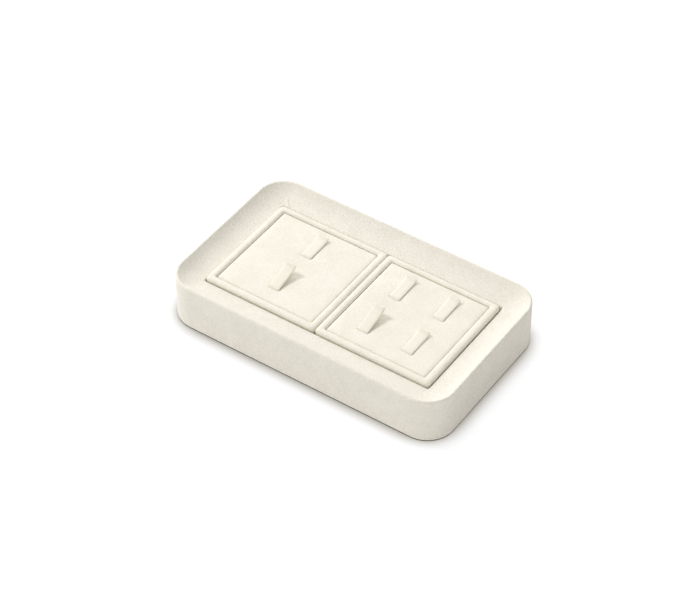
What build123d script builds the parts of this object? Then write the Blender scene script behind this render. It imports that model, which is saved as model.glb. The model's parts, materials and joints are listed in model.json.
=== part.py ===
from build123d import *
import os
from math import cos, radians, sin

os.makedirs("parts", exist_ok=True)

# A cloth-covered tray with a dished rim, and two lift-out inserts side by side in its well.
# Each insert is a padded square inside a raised border, and sprung clips come up through
# slits in the pad. Lengths are millimetres and angles are degrees. X is the long way, the
# front faces -Y, and the tray rests on Z = 0 with its middle on the origin.
# The sizes build outwards from the clips to the pad, border, insert, well and rim.

# Cloth
cloth = 0.8                  # suede cloth on boards, frames and pads
sleeve_wall = 0.4            # thinner cloth sewn round a clip

# Clip: a spring leaf in a cloth sleeve, with a turned-up tip
leaf_thickness = 0.4
leaf_width = 5.7
bow_length = 13.5            # from the pivot to where the tip starts to bend
bow_slope = 3.0              # the strap curves up to this slope on the way
tip_radius = 4.5             # bend of the tip, to the middle of the leaf
tip_slope = 36.0
tip_straight = 0.8
tip_corner_radius = 0.6
strap_gap = 0.1              # a closed strap starts this far above the pad
pivot_gap = 0.08             # running gap between the strap's root and the leaf's stem
raised_angle = 12.0          # the clips that stand a little open

# Clip foot, under the pad board, and its tacks
foot_length = 8.0
tack_radius = 0.5
tack_head_radius = 1.1
tack_head_thickness = 0.4
tack_setback = 2.4           # from the stem to the first tack
tack_pitch = 3.2
tack_cover = 1.0             # board left above a tack's point
tack_gap = 0.02
pocket_gap = 0.3             # round and under a foot in the insert's base
slit_gap = 0.3               # round a stem, and round a strap's root in the cloth

# Layout of the clips on a pad
column_pitch = 27.0
row_pitch = 29.1
column_shift = 0.45          # the columns are this far left of the pad's middle
side_margin = 13.6
front_margin = 9.25
back_margin = 5.43

# Pad and its boards
insert_base_thickness = 4.0
pad_board_thickness = 4.0
foam_thickness = 2.8
pad_core_corner = 0.1
pad_gap = 0.15               # between the pad and its border

# Raised border
border_core_width = 2.4
border_narrowing = 0.6       # the front and back of the border are this much narrower
border_core_flat = 1.0       # flat left along the top of the border's core
border_corner_extra = 0.5
border_step = 1.1            # the border stands this far above the pad
border_rise = 1.8            # and this far above the lip of the well

# Well
insert_gap = 0.4             # between the two inserts
end_gap = 0.55               # at the well's ends, on average
long_gap = 1.0               # in front of the inserts and behind them
seat_shift = 0.4             # the inserts rest this far left of the well's middle
lining_gap = 0.1
well_corner_radius = 0.6

# Tray
base_board_thickness = 9.0
board_edge_radius = 0.4
hem_width = 6.0              # the cover's turn-in under the tray
hem_gap = 0.3

# Dished rim, from the outer wall over the crest and down to the lip
crest_core_radius = 0.2
crest_slope = 44.5           # where the crest runs into the dish
middle_slope = 14.0
lip_slope = 6.0
steep_width = 7.66
gentle_width = 5.1
lip_core_radius = 0.2

# Sizes that follow
strap_thickness = leaf_thickness + 2 * sleeve_wall
clip_width = leaf_width + 2 * sleeve_wall
root_radius = leaf_thickness + sleeve_wall
strap_middle = root_radius - strap_thickness / 2
bow_radius = bow_length / sin(radians(bow_slope))
bend_reach = tip_radius * (sin(radians(tip_slope)) - sin(radians(bow_slope)))
tip_reach = strap_thickness / 2 * sin(radians(tip_slope)) + tip_straight * cos(radians(tip_slope))
clip_length = root_radius + bow_length + bend_reach + tip_reach

pad_length = column_pitch + clip_width + 2 * side_margin
pad_width = front_margin + row_pitch + clip_length + back_margin
pad_corner = pad_core_corner + cloth
window_length = pad_length + 2 * pad_gap
window_width = pad_width + 2 * pad_gap
window_corner = pad_corner + pad_gap

border_width = border_core_width + 2 * cloth
border_core_round = (border_core_width - border_core_flat) / 2
border_round = border_core_round + cloth
border_corner = border_round + border_corner_extra
insert_length = window_length + 2 * border_width
insert_width = window_width + 2 * (border_width - border_narrowing)

crest_radius = crest_core_radius + cloth
crest_reach = crest_radius * (1 + sin(radians(crest_slope)))
lip_radius = lip_core_radius + cloth
lip_reach = lip_radius * (1 - sin(radians(lip_slope)))
rim_width = crest_reach + steep_width + gentle_width + lip_reach

well_length = 2 * insert_length + insert_gap + 2 * end_gap
well_width = insert_width + 2 * long_gap
tray_length = well_length + 2 * rim_width
tray_width = well_width + 2 * rim_width
corner_radius = rim_width + well_corner_radius
edge_radius = board_edge_radius + cloth

# Heights, from the table up
board_top = cloth + base_board_thickness
insert_bottom = board_top + cloth
insert_base_bottom = insert_bottom + cloth
insert_base_top = insert_base_bottom + insert_base_thickness
pad_board_top = insert_base_top + pad_board_thickness
foam_top = pad_board_top + foam_thickness
pad_top = foam_top + cloth
border_top = pad_top + border_step
lip_height = border_top - border_rise
pivot_height = pad_top + strap_gap + strap_thickness - root_radius


def turned(centre, radius, slope):
    # The point of an arc where its surface slopes down by this many degrees.
    return centre + Vector(sin(radians(slope)), cos(radians(slope))) * radius


def arc_between(centre, radius, slope_a, slope_b):
    middle = (slope_a + slope_b) / 2
    return ThreePointArc(*(turned(centre, radius, slope) for slope in (slope_a, middle, slope_b)))


# Radii and centres of the dish's two arcs, which both hollow the rim from above
steep_radius = steep_width / (sin(radians(crest_slope)) - sin(radians(middle_slope)))
gentle_radius = gentle_width / (sin(radians(middle_slope)) - sin(radians(lip_slope)))
lip_centre = Vector(rim_width - lip_radius, lip_height - lip_radius * cos(radians(lip_slope)))
gentle_centre = turned(lip_centre, lip_radius + gentle_radius, lip_slope)
steep_centre = turned(gentle_centre, steep_radius - gentle_radius, middle_slope)
crest_centre = turned(steep_centre, -steep_radius - crest_radius, crest_slope)
edge_centre = Vector(edge_radius, edge_radius)
tray_height = crest_centre.Y + crest_radius


def rim_section(inset):
    # The rim's section, this far inside its cloth surface. X runs inwards from the outer wall.
    wall_slope = -90
    crest = arc_between(crest_centre, crest_radius - inset, wall_slope, crest_slope)
    steep = arc_between(steep_centre, -steep_radius - inset, crest_slope, middle_slope)
    gentle = arc_between(gentle_centre, -gentle_radius - inset, middle_slope, lip_slope)
    lip = arc_between(lip_centre, lip_radius - inset, lip_slope, -wall_slope)
    edge = arc_between(edge_centre, edge_radius - inset, 180 - wall_slope, 180)
    inner_foot = (rim_width - inset, inset)
    outline = [
        Line(edge @ 0, crest @ 0), crest, steep, gentle, lip,
        Polyline(lip @ 1, inner_foot, edge @ 1), edge,
    ]
    return make_face(outline)


def below(height, start=0.0):
    # Everything in a section under a height, from a distance inwards on.
    size = tray_width
    return Pos(start + size / 2, height - size / 2) * Rectangle(size, size)


def carried_round(section):
    # A section carried round the four sides of the tray and its four corners.
    ring = None
    sides = ((tray_length, tray_width), (tray_width, tray_length)) * 2
    for quarter, (along, across) in enumerate(sides):
        run = along - 2 * corner_radius
        wall = Plane(origin=(-run / 2, -across / 2, 0), x_dir=(0, 1, 0), z_dir=(1, 0, 0))
        start = wall * section
        straight = extrude(start, run)
        pole = Axis((run / 2, corner_radius - across / 2, 0), (0, 0, 1))
        corner = revolve(Pos(run, 0, 0) * start, pole, 90)
        side = Rot(0, 0, 90 * quarter) * (straight + corner)
        ring = side if ring is None else ring + side
    return ring


def slab(length, width, corner, bottom, top):
    # A flat rounded rectangle between two heights.
    return Pos(0, 0, bottom) * extrude(RectangleRounded(length, width, corner), top - bottom)


def box_at(length, width, bottom, top, x=0.0, y=0.0):
    return Pos(x, y, (bottom + top) / 2) * Box(length, width, top - bottom)


def save(name, solid):
    export_step(solid, f"parts/{name}.step")


# The tray: a board, a milled frame on it, and the cloth over both


def base_board():
    board = slab(tray_length - 2 * cloth, tray_width - 2 * cloth, corner_radius - cloth, cloth, board_top)
    return fillet(board.edges().group_by(Axis.Z)[0], board_edge_radius)


def rim_frame():
    return carried_round(rim_section(cloth) - below(board_top))


def rim_cover():
    return carried_round(rim_section(0) - rim_section(cloth) - below(board_top, hem_width))


def well_lining():
    gap = 2 * lining_gap
    return slab(well_length - gap, well_width - gap, well_corner_radius - lining_gap, board_top, insert_bottom)


def base_cloth():
    inset = hem_width + hem_gap
    return slab(tray_length - 2 * inset, tray_width - 2 * inset, corner_radius - inset, 0, cloth)


# The clip, drawn about its pivot with X forward along the strap and Y up

strap_plane = Plane(origin=(0, 0, 0), x_dir=(0, 1, 0), z_dir=(1, 0, 0))


def strip(thickness, shortened):
    # The strap's side view: a long shallow bow, then the bend, then the straight tip.
    bow_centre = Vector(0, strap_middle + bow_radius)
    bend_centre = turned(bow_centre, tip_radius - bow_radius, -bow_slope)
    along = Vector(cos(radians(tip_slope)), sin(radians(tip_slope))) * (tip_straight - shortened)
    top, bottom = thickness / 2, -thickness / 2
    bow_over, bow_under = [arc_between(bow_centre, side - bow_radius, 0, -bow_slope) for side in (top, bottom)]
    over, under = [arc_between(bend_centre, side - tip_radius, -bow_slope, -tip_slope) for side in (top, bottom)]
    ahead = Polyline(over @ 1, over @ 1 + along, under @ 1 + along, under @ 1)
    behind = Line(bow_under @ 0, bow_over @ 0)
    return make_face([bow_over, over, ahead, under, bow_under, behind])


def leaf_section():
    # The leaf's tongue, its bend over the pivot, and a stub that points down the slit.
    stub = Pos(-leaf_thickness / 2, -root_radius / 2) * Rectangle(leaf_thickness, root_radius)
    return strip(leaf_thickness, sleeve_wall) + Circle(leaf_thickness) + stub


def sleeve_section():
    return strip(strap_thickness, 0) + Circle(root_radius)


def clip_spring():
    return extrude(strap_plane * leaf_section(), leaf_width / 2, both=True)


def clip_sleeve():
    sleeve = extrude(strap_plane * sleeve_section(), clip_width / 2, both=True)
    tip_direction = (0, cos(radians(tip_slope)), sin(radians(tip_slope)))
    end = sleeve.faces().sort_by(Axis((0, 0, 0), tip_direction))[-1]
    corners = [edge for edge in end.edges() if abs(edge.tangent_at(0.5).X) < 0.5]
    return fillet(corners, tip_corner_radius) - clip_spring()


def tack_places():
    return [tack_setback, tack_setback + tack_pitch]


def clip_foot():
    # The stem that goes down through the pad, and the foot that lies under the pad board.
    drop = insert_base_top - pivot_height
    stem_top = -root_radius - pivot_gap
    back = -leaf_thickness
    outline = Polyline(
        (back, stem_top), (0, stem_top), (0, drop), (back + foot_length, drop),
        (back + foot_length, drop - leaf_thickness), (back, drop - leaf_thickness), close=True,
    )
    foot = extrude(strap_plane * make_face(outline), leaf_width / 2, both=True)
    for place in tack_places():
        foot -= Pos(0, place, drop - leaf_thickness / 2) * Cylinder(tack_radius + tack_gap, 2 * leaf_thickness)
    return foot


def tack():
    # Head under the foot, point upwards in the board.
    head = Cylinder(tack_head_radius, tack_head_thickness, align=(Align.CENTER, Align.CENTER, Align.MAX))
    shank_length = leaf_thickness + pad_board_thickness - tack_cover
    return head + Cylinder(tack_radius, shank_length, align=(Align.CENTER, Align.CENTER, Align.MIN))


# Where the clips are on each insert, from the insert's middle

front_row = front_margin + root_radius - pad_width / 2
rows = {"front": front_row, "back": front_row + row_pitch}
columns = {
    "left": {"": -column_shift},
    "right": {"inner_": -column_pitch / 2 - column_shift, "outer_": column_pitch / 2 - column_shift},
}
raised_clips = ("left_front_clip", "right_front_inner_clip")


def clip_pivots(side):
    return {
        f"{side}_{row}_{column}clip": (x, y)
        for row, y in rows.items()
        for column, x in columns[side].items()
    }


# The insert: a base, a bordered frame in its cover, and the pad stack inside it


def insert_base(side):
    base = slab(
        insert_length - 2 * cloth, insert_width - 2 * cloth, border_corner - cloth,
        insert_base_bottom, insert_base_top,
    )
    depth = leaf_thickness + tack_head_thickness + pocket_gap
    for x, y in clip_pivots(side).values():
        middle = y - leaf_thickness + foot_length / 2
        base -= box_at(
            leaf_width + 2 * pocket_gap, foot_length + 2 * pocket_gap,
            insert_base_top - depth, insert_base_top, x, middle,
        )
    return base


def border_ring(inset, bottom):
    # A square ring with a rounded top, this far inside the border's cloth surface.
    outside = slab(
        insert_length - 2 * inset, insert_width - 2 * inset, border_corner - inset,
        bottom, border_top - inset,
    )
    window = slab(
        window_length + 2 * inset, window_width + 2 * inset, window_corner + inset,
        bottom, border_top - inset,
    )
    ring = outside - window
    return fillet(ring.edges().group_by(Axis.Z)[-1], border_round - inset)


def border_frame():
    return border_ring(cloth, insert_base_top)


def border_cover():
    solid_base = slab(
        insert_length - 2 * cloth, insert_width - 2 * cloth, border_corner - cloth,
        insert_base_bottom, insert_base_top,
    )
    return border_ring(0, insert_bottom) - border_frame() - solid_base


def pad_core(bottom, top):
    return slab(pad_length - 2 * cloth, pad_width - 2 * cloth, pad_core_corner, bottom, top)


def stem_slot(x, y, bottom, top):
    return box_at(
        leaf_width + 2 * slit_gap, leaf_thickness + 2 * slit_gap,
        bottom, top, x, y - leaf_thickness / 2,
    )


def pad_board(side):
    board = pad_core(insert_base_top, pad_board_top)
    hole_height = pad_board_thickness - tack_cover + tack_gap
    hole = Cylinder(tack_radius + tack_gap, hole_height, align=(Align.CENTER, Align.CENTER, Align.MIN))
    for x, y in clip_pivots(side).values():
        board -= stem_slot(x, y, insert_base_top, pad_board_top)
        for place in tack_places():
            board -= Pos(x, y + place, insert_base_top) * hole
    return board


def pad_foam(side):
    foam = pad_core(pad_board_top, foam_top)
    for x, y in clip_pivots(side).values():
        foam -= stem_slot(x, y, pad_board_top, foam_top)
    return foam


def pad_cover(side):
    cover = slab(pad_length, pad_width, pad_corner, insert_base_top, pad_top)
    cover = fillet(cover.edges().group_by(Axis.Z)[-1], cloth) - pad_core(insert_base_top, foam_top)
    for x, y in clip_pivots(side).values():
        cover -= box_at(
            clip_width + 2 * slit_gap, 2 * (root_radius + slit_gap),
            foam_top, pad_top, x, y,
        )
    return cover


def tacks(side):
    head_top = insert_base_top - leaf_thickness
    return Compound([
        Pos(x, y + place, head_top) * tack()
        for x, y in clip_pivots(side).values()
        for place in tack_places()
    ])


save("base_board", base_board())
save("rim_frame", rim_frame())
save("rim_cover", rim_cover())
save("well_lining", well_lining())
save("base_cloth", base_cloth())

insert_reach = (insert_length + insert_gap) / 2
for side, middle in (("left", -insert_reach), ("right", insert_reach)):
    place = Pos(middle - seat_shift, 0, 0)
    save(f"{side}_insert_base", place * insert_base(side))
    save(f"{side}_border_frame", place * border_frame())
    save(f"{side}_border_cover", place * border_cover())
    save(f"{side}_pad_board", place * pad_board(side))
    save(f"{side}_pad_foam", place * pad_foam(side))
    save(f"{side}_pad_cover", place * pad_cover(side))
    save(f"{side}_clip_tacks", place * tacks(side))
    for name, (x, y) in clip_pivots(side).items():
        pivot = place * Pos(x, y, pivot_height)
        strap = pivot * Rot(raised_angle if name in raised_clips else 0, 0, 0)
        save(f"{name}_foot", pivot * clip_foot())
        save(f"{name}_spring", strap * clip_spring())
        save(f"{name}_sleeve", strap * clip_sleeve())

print(f"tray {tray_length:.2f} x {tray_width:.2f} x {tray_height:.2f}, lip at {lip_height:.2f}")
print(f"insert {insert_length:.2f} x {insert_width:.2f}, pad top at {pad_top:.2f}")
print(f"pivots at height {pivot_height:.2f}, strap {clip_length:.2f} long")
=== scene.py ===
import json
import math

import bmesh
import bpy
import numpy as np
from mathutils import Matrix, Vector

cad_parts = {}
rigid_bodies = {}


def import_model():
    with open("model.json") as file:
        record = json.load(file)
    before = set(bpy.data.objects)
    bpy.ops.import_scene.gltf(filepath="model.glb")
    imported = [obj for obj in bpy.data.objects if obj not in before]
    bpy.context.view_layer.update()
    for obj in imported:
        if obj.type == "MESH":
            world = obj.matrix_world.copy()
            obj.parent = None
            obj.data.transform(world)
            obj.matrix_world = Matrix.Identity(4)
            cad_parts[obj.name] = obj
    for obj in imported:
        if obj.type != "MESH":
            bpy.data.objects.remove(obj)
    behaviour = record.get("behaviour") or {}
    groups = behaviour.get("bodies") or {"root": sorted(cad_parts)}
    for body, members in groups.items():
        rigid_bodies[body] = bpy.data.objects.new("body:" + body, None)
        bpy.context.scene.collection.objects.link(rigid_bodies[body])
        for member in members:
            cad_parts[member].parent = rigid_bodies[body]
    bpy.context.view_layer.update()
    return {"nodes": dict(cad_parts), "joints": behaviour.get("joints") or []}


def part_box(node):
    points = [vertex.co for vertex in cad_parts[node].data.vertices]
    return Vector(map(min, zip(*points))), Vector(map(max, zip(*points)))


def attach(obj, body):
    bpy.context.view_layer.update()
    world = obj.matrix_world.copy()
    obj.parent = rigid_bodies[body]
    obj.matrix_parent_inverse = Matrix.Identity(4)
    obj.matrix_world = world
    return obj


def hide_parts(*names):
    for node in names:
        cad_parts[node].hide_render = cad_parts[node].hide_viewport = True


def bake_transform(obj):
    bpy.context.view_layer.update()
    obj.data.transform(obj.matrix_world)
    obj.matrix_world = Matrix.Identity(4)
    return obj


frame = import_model()
mm = 0.001
print("frame loaded:", len(frame["nodes"]), "nodes")


# Small helpers

def link(thing):
    bpy.context.scene.collection.objects.link(thing)
    return thing


def meshPiece(name, points, faces, material):
    mesh = bpy.data.meshes.new(name)
    mesh.from_pydata([tuple(p) for p in points], [], [tuple(f) for f in faces])
    mesh.materials.append(material)
    mesh.update()
    return link(bpy.data.objects.new(name, mesh))


def closeAndSmooth(piece):
    # Merges what meets, turns the faces of a closed mesh outwards and shades them smooth
    work = bmesh.new()
    work.from_mesh(piece.data)
    bmesh.ops.remove_doubles(work, verts=work.verts, dist=1e-7)
    bmesh.ops.recalc_face_normals(work, faces=work.faces)
    for face in work.faces:
        face.smooth = True
    work.to_mesh(piece.data)
    work.free()


def dress(piece, body, slotName, *covered):
    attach(piece, body)
    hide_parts(*covered)


def arcPoints(centre, radius, start, end, count):
    # Angles in degrees, anticlockwise from the first axis
    angles = np.radians(np.linspace(start, end, count))
    return [(centre[0] + radius * math.cos(a), centre[1] + radius * math.sin(a)) for a in angles]


def withoutRepeats(points, closeness=1e-6):
    kept = []
    for p in points:
        if not kept or math.dist(p, kept[-1]) > closeness:
            kept.append(p)
    if math.dist(kept[0], kept[-1]) < closeness:
        kept.pop()
    return kept


def stepsBetween(a, b, count):
    # From a up to but without b
    return [tuple(p + (q - p) * k / count for p, q in zip(a, b)) for k in range(count)]


def roundedLoop(length, width, radius, alongCount, acrossCount, cornerCount):
    # A level rounded rectangle round the origin, anticlockwise seen from above
    halfL, halfW = length / 2 - radius, width / 2 - radius
    centres = [(halfL, -halfW), (halfL, halfW), (-halfL, halfW), (-halfL, -halfW)]
    points = []
    for quarter, centre in enumerate(centres):
        turn = 90 * quarter - 90
        before = arcPoints(centres[quarter - 1], radius, turn, turn, 1)[0]
        corner = arcPoints(centre, radius, turn, turn + 90, cornerCount + 1)
        points += stepsBetween(before, corner[0], (alongCount, acrossCount)[quarter % 2]) + corner[:-1]
    return points


def softEdge(distance, radius):
    # How far a rounded edge has dropped, this far in from it
    inside = min(max(distance, 0.0), radius)
    return radius - math.sqrt(max(radius * radius - (radius - inside) ** 2, 0.0))


# Shader groups

def newGroup(name, inputs, outputs):
    group = bpy.data.node_groups.new(name, "ShaderNodeTree")
    for label, value in inputs.items():
        socket = group.interface.new_socket(label, in_out="INPUT", socket_type="NodeSocketFloat")
        socket.default_value = value
    for label in outputs:
        group.interface.new_socket(label, in_out="OUTPUT", socket_type="NodeSocketFloat")
    return group, group.nodes.new("NodeGroupInput"), group.nodes.new("NodeGroupOutput")


def setInput(tree, socket, value):
    if isinstance(value, bpy.types.NodeSocket):
        tree.links.new(value, socket)
    else:
        socket.default_value = value


def mathNode(tree, operation, *values):
    made = tree.nodes.new("ShaderNodeMath")
    made.operation = operation
    for socket, value in zip(made.inputs, values):
        setInput(tree, socket, value)
    return made.outputs[0]


def noiseNode(tree, vector, scale, detail=2.0, roughness=0.5, distortion=0.0):
    made = tree.nodes.new("ShaderNodeTexNoise")
    tree.links.new(vector, made.inputs["Vector"])
    for label, value in (("Scale", scale), ("Detail", detail), ("Roughness", roughness), ("Distortion", distortion)):
        setInput(tree, made.inputs[label], value)
    return made.outputs["Fac"]


suedeNapLook = {"stretch": (1.0, 0.55, 1.0), "turn": 24, "grain": 0.55, "roughSwing": 0.25, "roughBase": 0.88}


def suedeNapGroup(look):
    # Brushed cloth: broad clouds in the nap, small clumps and single fibres, with sizes in millimetres
    inputs = {"Cloud Size": 9.0, "Clump Size": 1.1, "Fibre Size": 0.28, "Clouds": 0.5, "Clumps": 0.35, "Fibres": 0.3}
    group, entry, leave = newGroup("suedeNap", inputs, ("Shade", "Height", "Roughness"))
    place = group.nodes.new("ShaderNodeTexCoord").outputs["Object"]
    brushed = group.nodes.new("ShaderNodeMapping")
    brushed.inputs["Scale"].default_value = look["stretch"]
    brushed.inputs["Rotation"].default_value = (0.0, 0.0, math.radians(look["turn"]))
    group.links.new(place, brushed.inputs["Vector"])

    def layer(label, strength, detail, distortion, vector):
        scale = mathNode(group, "DIVIDE", 1 / mm, entry.outputs[label])
        noise = noiseNode(group, vector, scale, detail, look["grain"], distortion)
        return mathNode(group, "MULTIPLY", mathNode(group, "SUBTRACT", noise, 0.5), entry.outputs[strength])

    clouds = layer("Cloud Size", "Clouds", 3.0, 0.6, place)
    clumps = layer("Clump Size", "Clumps", 2.0, 0.3, place)
    fibres = layer("Fibre Size", "Fibres", 1.0, 0.0, brushed.outputs[0])
    small = mathNode(group, "ADD", clumps, fibres)
    total = mathNode(group, "ADD", clouds, small)
    group.links.new(mathNode(group, "ADD", 0.5, total), leave.inputs["Shade"])
    group.links.new(mathNode(group, "ADD", 0.5, small), leave.inputs["Height"])
    rough = mathNode(group, "MULTIPLY_ADD", total, look["roughSwing"], look["roughBase"])
    group.links.new(rough, leave.inputs["Roughness"])
    return group


suedeNap = suedeNapGroup(suedeNapLook)


def principled(name):
    material = bpy.data.materials.new(name)
    material.use_nodes = True
    return material, material.node_tree, material.node_tree.nodes["Principled BSDF"]


def colourRamp(tree, value, dark, light, low=0.0, high=1.0):
    ramp = tree.nodes.new("ShaderNodeValToRGB")
    for stop, position, colour in zip(ramp.color_ramp.elements, (low, high), (dark, light)):
        stop.position, stop.color = position, (*colour, 1)
    tree.links.new(value, ramp.inputs["Fac"])
    return ramp.outputs["Color"]


def bumpNode(tree, height, strength, distance):
    made = tree.nodes.new("ShaderNodeBump")
    made.inputs["Strength"].default_value = strength
    made.inputs["Distance"].default_value = distance
    tree.links.new(height, made.inputs["Height"])
    return made.outputs["Normal"]


# What all the suedes share
suedeLook = {"ramp": (0.25, 0.75), "specular": 0.2, "sheenRoughness": 0.55, "sheenTint": (1.0, 0.98, 0.94, 1)}


def suedeMaterial(name, look):
    material, tree, shader = principled(name)
    nap = tree.nodes.new("ShaderNodeGroup")
    nap.node_tree = suedeNap
    for label, value in look["nap"].items():
        nap.inputs[label].default_value = value
    colour = colourRamp(tree, nap.outputs["Shade"], look["dark"], look["light"], *suedeLook["ramp"])
    tree.links.new(colour, shader.inputs["Base Color"])
    tree.links.new(nap.outputs["Roughness"], shader.inputs["Roughness"])
    tree.links.new(bumpNode(tree, nap.outputs["Height"], look["bump"], look["pile"] * mm), shader.inputs["Normal"])
    shader.inputs["Specular IOR Level"].default_value = suedeLook["specular"]
    shader.inputs["Sheen Weight"].default_value = look["sheen"]
    shader.inputs["Sheen Roughness"].default_value = suedeLook["sheenRoughness"]
    shader.inputs["Sheen Tint"].default_value = suedeLook["sheenTint"]
    return material


traySuedeLook = {
    "light": (0.874, 0.836, 0.742), "dark": (0.796, 0.758, 0.664),
    "nap": {"Cloud Size": 11.0, "Clump Size": 0.9, "Fibre Size": 0.36, "Clouds": 0.9, "Clumps": 1.5, "Fibres": 1.3},
    "bump": 0.8, "pile": 0.26, "sheen": 0.12,
}
padSuedeLook = {
    "light": (0.878, 0.840, 0.742), "dark": (0.808, 0.769, 0.670),
    "nap": {"Cloud Size": 14.0, "Clump Size": 0.9, "Fibre Size": 0.36, "Clouds": 1.3, "Clumps": 1.4, "Fibres": 1.1},
    "bump": 0.6, "pile": 0.22, "sheen": 0.12,
}
sleeveSuedeLook = {
    "light": (0.872, 0.834, 0.728), "dark": (0.812, 0.772, 0.666),
    "nap": {"Cloud Size": 6.0, "Clump Size": 0.8, "Fibre Size": 0.3, "Clouds": 0.3, "Clumps": 1.0, "Fibres": 0.8},
    "bump": 0.4, "pile": 0.14, "sheen": 0.12,
}
underSuedeLook = {
    "light": (0.80, 0.757, 0.647), "dark": (0.72, 0.675, 0.568),
    "nap": {"Cloud Size": 18.0, "Clump Size": 1.4, "Fibre Size": 0.35, "Clouds": 0.5, "Clumps": 0.5, "Fibres": 0.35},
    "bump": 0.5, "pile": 0.16, "sheen": 0.06,
}
traySuede = suedeMaterial("traySuede", traySuedeLook)
padSuede = suedeMaterial("padSuede", padSuedeLook)
sleeveSuede = suedeMaterial("sleeveSuede", sleeveSuedeLook)
underSuede = suedeMaterial("underSuede", underSuedeLook)


fibreboardLook = {
    "dark": (0.30, 0.205, 0.12), "light": (0.52, 0.39, 0.255),
    "fibres": {"scale": 900.0, "detail": 6.0, "roughness": 0.65, "distortion": 0.4}, "flecks": {"scale": 2600.0},
    "fibreShare": 0.6, "fleckShare": 0.4, "roughSwing": 0.25, "roughBase": 0.62, "bump": 0.35, "grainDepth": 0.1,
}


def fibreboardMaterial(look):
    # Pressed fibres, with darker flecks
    material, tree, shader = principled("fibreboard")
    place = tree.nodes.new("ShaderNodeTexCoord").outputs["Object"]
    fibres = noiseNode(tree, place, **look["fibres"])
    flecks = mathNode(tree, "MULTIPLY", noiseNode(tree, place, **look["flecks"]), look["fleckShare"])
    mixed = mathNode(tree, "MULTIPLY_ADD", fibres, look["fibreShare"], flecks)
    rough = mathNode(tree, "MULTIPLY_ADD", fibres, look["roughSwing"], look["roughBase"])
    tree.links.new(colourRamp(tree, mixed, look["dark"], look["light"]), shader.inputs["Base Color"])
    tree.links.new(rough, shader.inputs["Roughness"])
    tree.links.new(bumpNode(tree, mixed, look["bump"], look["grainDepth"] * mm), shader.inputs["Normal"])
    return material


springSteelLook = {
    "dark": (0.42, 0.41, 0.40), "light": (0.66, 0.65, 0.63), "stretch": (1.0, 0.04, 1.0),
    "lines": {"scale": 9000.0, "detail": 3.0, "roughness": 0.6}, "roughSwing": 0.2, "roughBase": 0.26,
}


def springSteelMaterial(look):
    # Rolled strip, with fine lines along it
    material, tree, shader = principled("springSteel")
    stretched = tree.nodes.new("ShaderNodeMapping")
    stretched.inputs["Scale"].default_value = look["stretch"]
    tree.links.new(tree.nodes.new("ShaderNodeTexCoord").outputs["Object"], stretched.inputs["Vector"])
    lines = noiseNode(tree, stretched.outputs[0], **look["lines"])
    rough = mathNode(tree, "MULTIPLY_ADD", lines, look["roughSwing"], look["roughBase"])
    tree.links.new(colourRamp(tree, lines, look["dark"], look["light"]), shader.inputs["Base Color"])
    tree.links.new(rough, shader.inputs["Roughness"])
    shader.inputs["Metallic"].default_value = 1.0
    return material


fibreboard = fibreboardMaterial(fibreboardLook)
springSteel = springSteelMaterial(springSteelLook)
boardEndings = ("_board", "_frame", "_base")
steelEndings = ("_spring", "_foot", "_tacks")
for name, solid in frame["nodes"].items():
    if name.endswith(boardEndings + steelEndings):
        solid.data.materials.clear()
        solid.data.materials.append(fibreboard if name.endswith(boardEndings) else springSteel)
print("materials made")


# Geometry Nodes

def newGeometryTree(name, inputs):
    tree = bpy.data.node_groups.new(name, "GeometryNodeTree")
    for label, (kind, value) in inputs.items():
        socket = tree.interface.new_socket(label, in_out="INPUT", socket_type=kind)
        if value is not None:
            socket.default_value = value
    tree.interface.new_socket("Geometry", in_out="OUTPUT", socket_type="NodeSocketGeometry")
    return tree, tree.nodes.new("NodeGroupInput"), tree.nodes.new("NodeGroupOutput")


def step(tree, kind, links=None, **settings):
    # One node; settings come first, because they can change its sockets
    made = tree.nodes.new(kind)
    for label, value in settings.items():
        setattr(made, label, value)
    for label, value in (links or {}).items():
        setInput(tree, made.inputs[label], value)
    return made


def vectorMath(tree, operation, a, b=None):
    links = {0: a} if b is None else {0: a, ("Scale" if operation == "SCALE" else 1): b}
    return step(tree, "ShaderNodeVectorMath", links, operation=operation).outputs[0]


def curvesOf(tree, entry, *labels):
    return [step(tree, "GeometryNodeObjectInfo", {"Object": entry.outputs[label]}).outputs["Geometry"]
            for label in labels]


def waveNode(tree, place, entry, size, detail):
    # Soft noise round 0, for cloth that isn't quite flat
    scale = mathNode(tree, "DIVIDE", 1.0, entry.outputs[size])
    links = {"Vector": place, "W": entry.outputs["Seed"], "Detail": detail, "Scale": scale}
    wave = step(tree, "ShaderNodeTexNoise", links, noise_dimensions="4D").outputs["Fac"]
    return mathNode(tree, "SUBTRACT", wave, 0.5)


def finishTree(tree, geometry, material, leave):
    smooth = step(tree, "GeometryNodeSetShadeSmooth", {"Geometry": geometry})
    real = step(tree, "GeometryNodeRealizeInstances", {"Geometry": smooth.outputs[0]})
    painted = step(tree, "GeometryNodeSetMaterial", {"Geometry": real.outputs[0], "Material": material})
    tree.links.new(painted.outputs[0], leave.inputs[0])


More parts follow.
